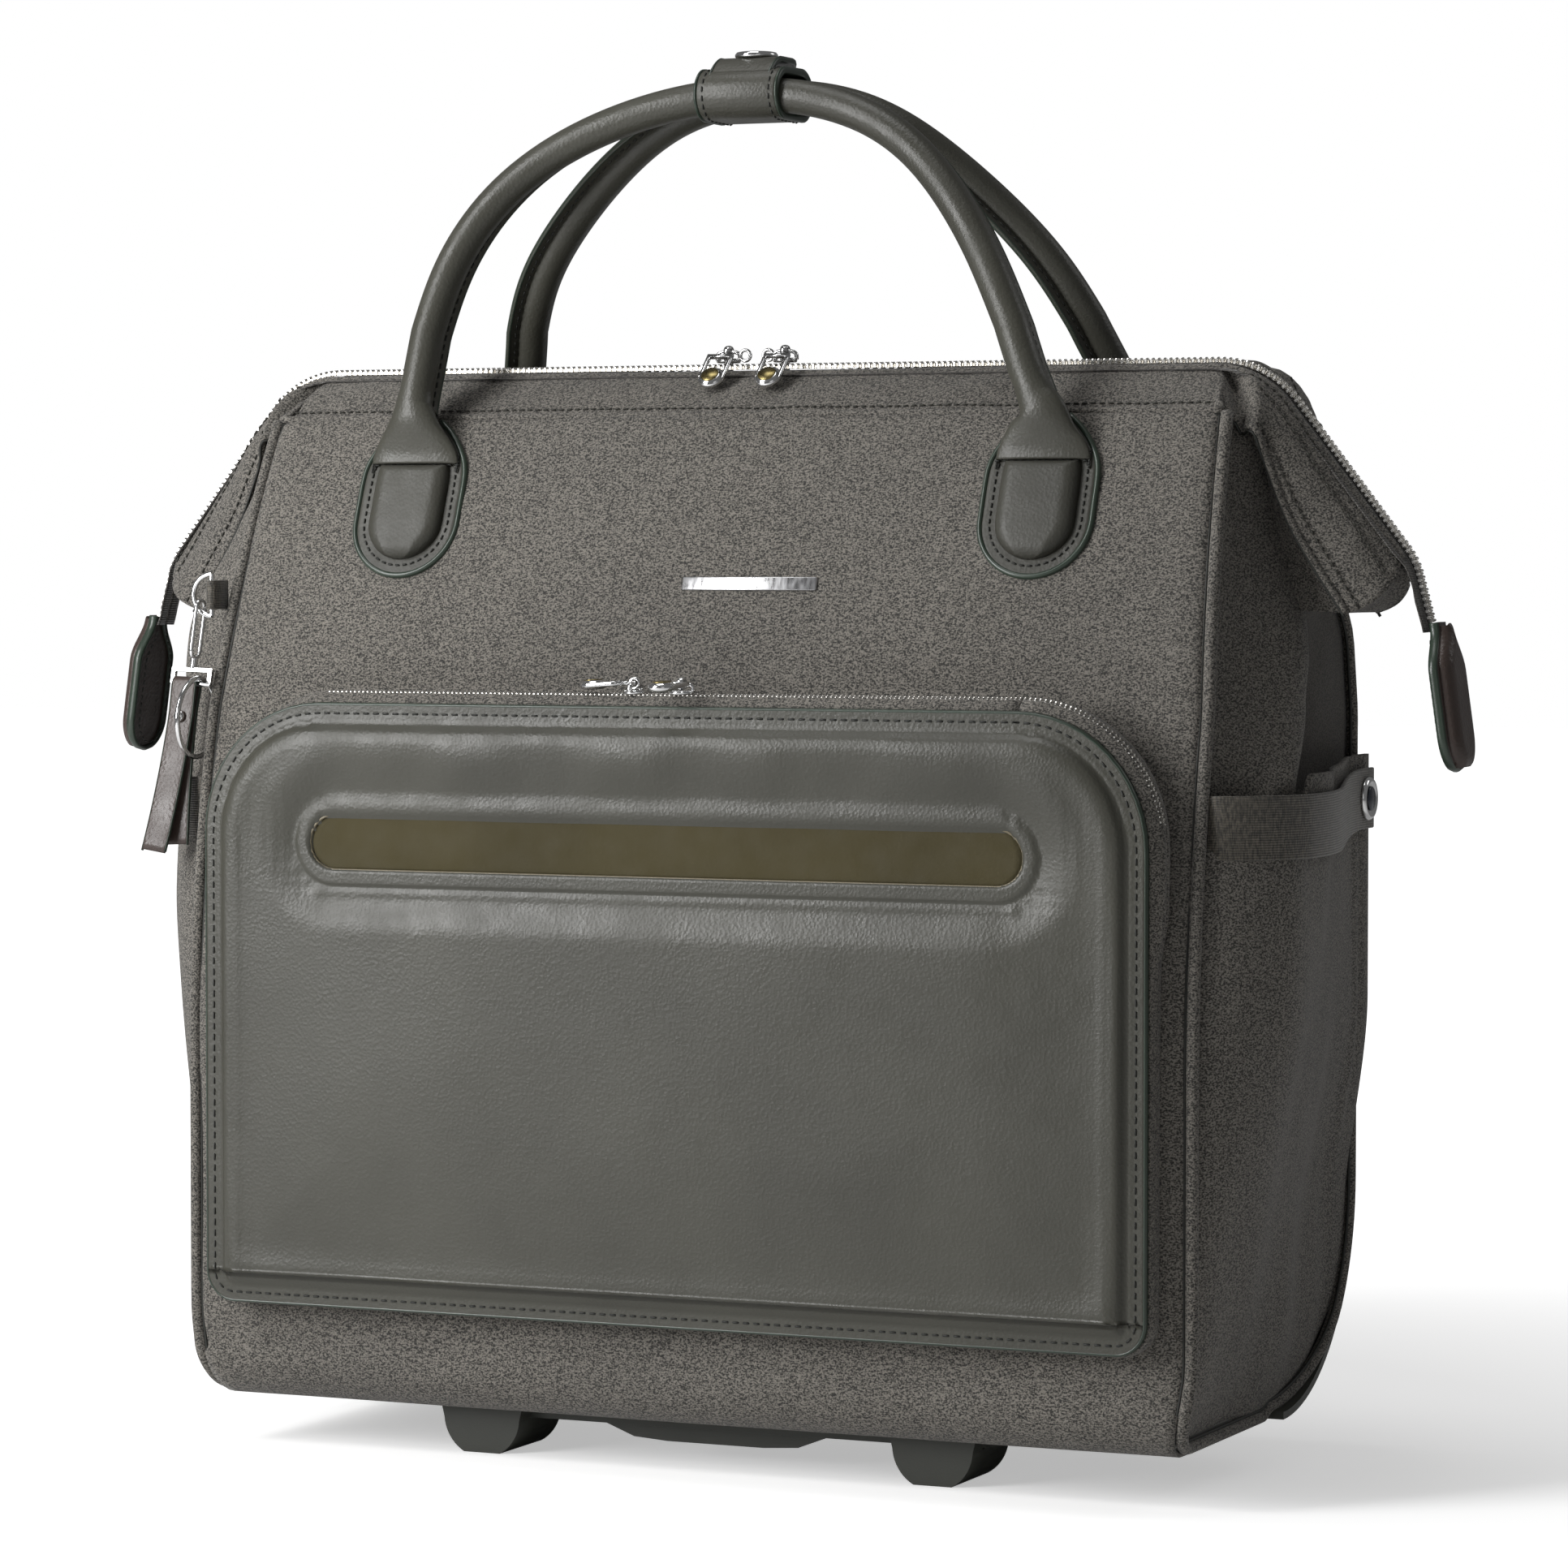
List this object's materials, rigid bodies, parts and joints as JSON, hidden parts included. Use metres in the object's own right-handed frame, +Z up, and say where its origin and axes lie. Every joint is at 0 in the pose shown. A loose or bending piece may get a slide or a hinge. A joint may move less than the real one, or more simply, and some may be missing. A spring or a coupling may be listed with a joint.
{
  "type": "rolling laptop case",
  "caption": "Soft-sided rolling laptop case with wheels, telescoping pull handle, joined carry handles, top zip and a padded front pocket.",
  "frame": {"origin": "on the floor, under the middle of the top zip, midway between the front edge and the back of the wheels", "axes": "+X to the bag's right seen from the front, the front face looks along -Y, +Z up"},
  "size_m": [0.5866, 0.229, 0.5649],
  "materials": {
    "crepe_fabric": "matte taupe-grey crepe weave",
    "grey_leather": "satin grey-olive leather, fine grain, stitched, painted edges",
    "brown_leather": "satin dark brown leather, painted edges",
    "suede": "matte olive-brown suede",
    "webbing": "ribbed grey webbing",
    "lining": "plain woven lining",
    "board": "polypropylene stiffener board",
    "olive_plastic": "moulded dark grey-olive plastic, fine texture",
    "button_plastic": "moulded grey plastic",
    "hub_plastic": "moulded dark plastic",
    "tyre_rubber": "soft black urethane",
    "tube_alloy": "anodised drawn tube",
    "chrome": "polished plate",
    "steel": "plain steel",
    "zip_metal": "polished zip teeth"
  },
  "bodies": {
    "bag": {"base_tray": "olive_plastic", "front_feet": "olive_plastic", "chassis_screws": "steel", "rear_chassis": "olive_plastic", "axles": "steel", "bottom_panel": "crepe_fabric", "stiffener_boards": "board", "front_panel": "crepe_fabric", "back_panel": "crepe_fabric", "side_gussets": "crepe_fabric", "rear_cover": "crepe_fabric", "top_band_front": "crepe_fabric", "top_band_back": "crepe_fabric", "top_wings": "crepe_fabric", "mouth_frames": "steel", "piping": "crepe_fabric", "zip_tapes": "webbing", "zip_teeth": "zip_metal", "laptop_sleeve": "lining", "pocket_gusset": "crepe_fabric", "pocket_front": "grey_leather", "window_inset": "suede", "handle_patches": "grey_leather", "outer_tubes": "tube_alloy", "trolley_bezel": "olive_plastic", "side_pockets": "crepe_fabric", "ring_loop": "webbing", "name_bar": "chrome"},
    "wheel_left": {"wheel_hub_left": "hub_plastic", "tyre_left": "tyre_rubber"},
    "wheel_right": {"wheel_hub_right": "hub_plastic", "tyre_right": "tyre_rubber"},
    "trolley_mid": {"mid_tubes": "tube_alloy"},
    "trolley_top": {"inner_tubes": "tube_alloy", "trolley_grip": "olive_plastic"},
    "button": {"release_button": "button_plastic", "release_rods": "steel"},
    "front_handle": {"carry_handle_front": "grey_leather"},
    "back_handle": {"carry_handle_back": "grey_leather"},
    "wrap": {"handle_wrap": "grey_leather"},
    "flap": {"wrap_flap": "grey_leather", "snap_cap": "chrome"},
    "zip_slider_left": {"main_slider_left": "chrome"},
    "zip_slider_right": {"main_slider_right": "chrome"},
    "zip_pull_left": {"main_pull_left": "chrome"},
    "zip_pull_right": {"main_pull_right": "chrome"},
    "tab_left": {"zip_tab_left": "brown_leather"},
    "tab_right": {"zip_tab_right": "brown_leather"},
    "pocket_zip_left": {"pocket_slider_left": "chrome"},
    "pocket_zip_right": {"pocket_slider_right": "chrome"},
    "pocket_tag_left": {"pocket_pull_left": "chrome"},
    "pocket_tag_right": {"pocket_pull_right": "chrome"},
    "strap_left": {"side_strap_left": "webbing"},
    "strap_right": {"side_strap_right": "webbing"},
    "ring": {"d_ring": "chrome"},
    "clip": {"carabiner": "chrome"},
    "gate": {"carabiner_gate": "chrome"},
    "clip_swivel": {"swivel": "chrome"},
    "fob": {"fob_strap": "brown_leather"},
    "key_ring": {"split_ring": "chrome"}
  },
  "joints": [
    {"name": "wheel_left_spin", "type": "hinge", "parent": "bag", "child": "wheel_left", "pos_m": [-0.13, 0.082, 0.032], "axis": [1, 0, 0], "continuous": true},
    {"name": "wheel_right_spin", "type": "hinge", "parent": "bag", "child": "wheel_right", "pos_m": [0.13, 0.082, 0.032], "axis": [1, 0, 0], "continuous": true},
    {"name": "trolley_mid_slide", "type": "slide", "parent": "bag", "child": "trolley_mid", "axis": [0, 0, 1], "range_m": [0, 0.255]},
    {"name": "trolley_top_slide", "type": "slide", "parent": "trolley_mid", "child": "trolley_top", "axis": [0, 0, 1], "range_m": [0, 0.255]},
    {"name": "button_press", "type": "slide", "parent": "trolley_top", "child": "button", "axis": [0, 0, -1], "range_m": [0, 0.0035]},
    {"name": "front_handle_sway", "type": "hinge", "parent": "bag", "child": "front_handle", "pos_m": [0, -0.047, 0.405], "axis": [1, 0, 0], "range_deg": [-4, 2.5]},
    {"name": "back_handle_sway", "type": "hinge", "parent": "bag", "child": "back_handle", "pos_m": [0, 0.0666, 0.408], "axis": [1, 0, 0], "range_deg": [-4.2, 2.7]},
    {"name": "wrap_turn", "type": "hinge", "parent": "front_handle", "child": "wrap", "pos_m": [0, -0.008, 0.5471], "axis": [1, 0, 0], "range_deg": [-18.2, 29]},
    {"name": "flap_lift", "type": "hinge", "parent": "wrap", "child": "flap", "pos_m": [-0.005, -0.009, 0.5601], "axis": [1, 0, 0], "range_deg": [0, 110]},
    {"name": "zip_left_slide", "type": "slide", "parent": "bag", "child": "zip_slider_left", "axis": [-1, 0, 0], "range_m": [0, 0.165]},
    {"name": "zip_right_slide", "type": "slide", "parent": "bag", "child": "zip_slider_right", "axis": [1, 0, 0], "range_m": [0, 0.172]},
    {"name": "zip_pull_left_swing", "type": "hinge", "parent": "zip_slider_left", "child": "zip_pull_left", "pos_m": [-0.016, 0, 0.4443], "axis": [-1, 0, 0], "range_deg": [0, 170]},
    {"name": "zip_pull_right_swing", "type": "hinge", "parent": "zip_slider_right", "child": "zip_pull_right", "pos_m": [0.009, 0, 0.4443], "axis": [-1, 0, 0], "range_deg": [0, 170]},
    {"name": "tab_left_flex", "type": "hinge", "parent": "bag", "child": "tab_left", "pos_m": [-0.2814, 0, 0.3321], "axis": [0, 1, 0], "range_deg": [-10, 60]},
    {"name": "tab_right_flex", "type": "hinge", "parent": "bag", "child": "tab_right", "pos_m": [0.2814, 0, 0.3321], "axis": [0, -1, 0], "range_deg": [-10, 60]},
    {"name": "pocket_zip_left_slide", "type": "slide", "parent": "bag", "child": "pocket_zip_left", "axis": [-1, 0, 0], "range_m": [0, 0.12]},
    {"name": "pocket_zip_right_slide", "type": "slide", "parent": "bag", "child": "pocket_zip_right", "axis": [1, 0, 0], "range_m": [0, 0.135]},
    {"name": "pocket_tag_left_swing", "type": "hinge", "parent": "pocket_zip_left", "child": "pocket_tag_left", "pos_m": [-0.014, -0.092, 0.3086], "axis": [0, 1, 0], "range_deg": [0, 110]},
    {"name": "pocket_tag_right_swing", "type": "hinge", "parent": "pocket_zip_right", "child": "pocket_tag_right", "pos_m": [0.006, -0.092, 0.3086], "axis": [-1, 0, 0], "range_deg": [0, 120]},
    {"name": "strap_left_open", "type": "hinge", "parent": "bag", "child": "strap_left", "pos_m": [-0.2379, -0.059, 0.259], "axis": [0, 0, 1], "range_deg": [0, 100]},
    {"name": "strap_right_open", "type": "hinge", "parent": "bag", "child": "strap_right", "pos_m": [0.2379, -0.059, 0.259], "axis": [0, 0, -1], "range_deg": [0, 100]},
    {"name": "ring_turn", "type": "hinge", "parent": "bag", "child": "ring", "pos_m": [-0.2182, -0.0665, 0.346], "axis": [0, 0, 1], "range_deg": [-10, 12]},
    {"name": "clip_swing", "type": "hinge", "parent": "ring", "child": "clip", "pos_m": [-0.2236, -0.0665, 0.3394], "axis": [-0.0077, 0.9816, -0.1907], "range_deg": [0, 20]},
    {"name": "gate_open", "type": "hinge", "parent": "clip", "child": "gate", "pos_m": [-0.22411, -0.06551, 0.32669], "axis": [0.9992, 0, -0.0401], "range_deg": [0, 20]},
    {"name": "swivel_turn", "type": "hinge", "parent": "clip", "child": "clip_swivel", "pos_m": [-0.22456, -0.07116, 0.31547], "axis": [0.0394, 0.1908, 0.9808], "range_deg": [-8, 14]},
    {"name": "fob_swing", "type": "hinge", "parent": "clip_swivel", "child": "fob", "pos_m": [-0.22479, -0.07228, 0.30968], "axis": [0.9992, 0, -0.0401], "range_deg": [-40, 8]},
    {"name": "key_ring_swing", "type": "hinge", "parent": "clip_swivel", "child": "key_ring", "pos_m": [-0.22479, -0.07228, 0.30968], "axis": [0.9992, 0, -0.0401], "range_deg": [-30, 20]}
  ],
  "couplings": [
    {"joint": "back_handle_sway", "follows": "front_handle_sway", "ratio": 1.021},
    {"joint": "wrap_turn", "follows": "front_handle_sway", "ratio": -7.15}
  ]
}
